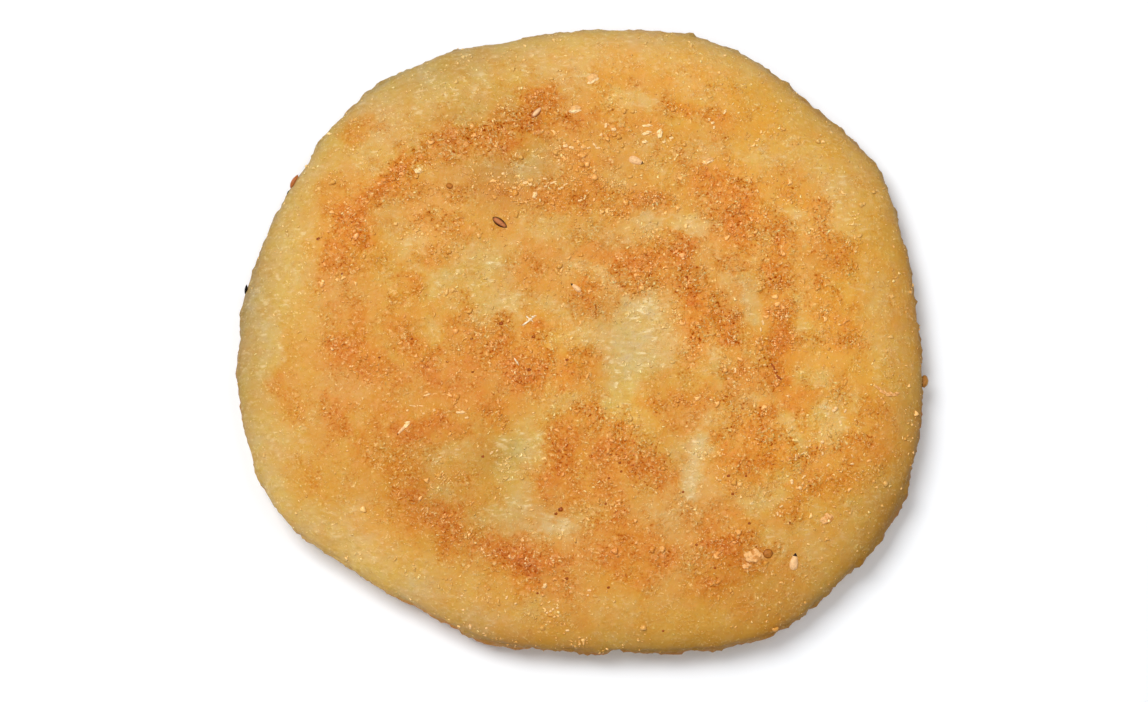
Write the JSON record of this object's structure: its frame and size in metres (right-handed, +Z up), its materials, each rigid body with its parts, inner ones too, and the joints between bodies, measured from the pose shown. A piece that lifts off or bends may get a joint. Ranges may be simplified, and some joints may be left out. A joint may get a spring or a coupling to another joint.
{
  "type": "sweet rice pancake",
  "caption": "Round pan-fried sticky rice pancake, flattened, with a mottled browned face, a pale rounded rim, scattered sesame seeds and a flat underside that it rests on.",
  "frame": {"origin": "centre of the bounding box's base, on the plane that the pancake rests on", "axes": "+Z up, out of the browned face; +X along the widest way across; +Y towards the top edge of the pancake as seen from above"},
  "size_m": [0.1037, 0.0962, 0.0105],
  "materials": {
    "crust": "pan-fried rice dough: golden to orange-brown where it touched the pan, cream in the hollows and round the rim, with a thin film of oil"
  },
  "bodies": {
    "root": {"pancake": "crust"}
  },
  "joints": []
}
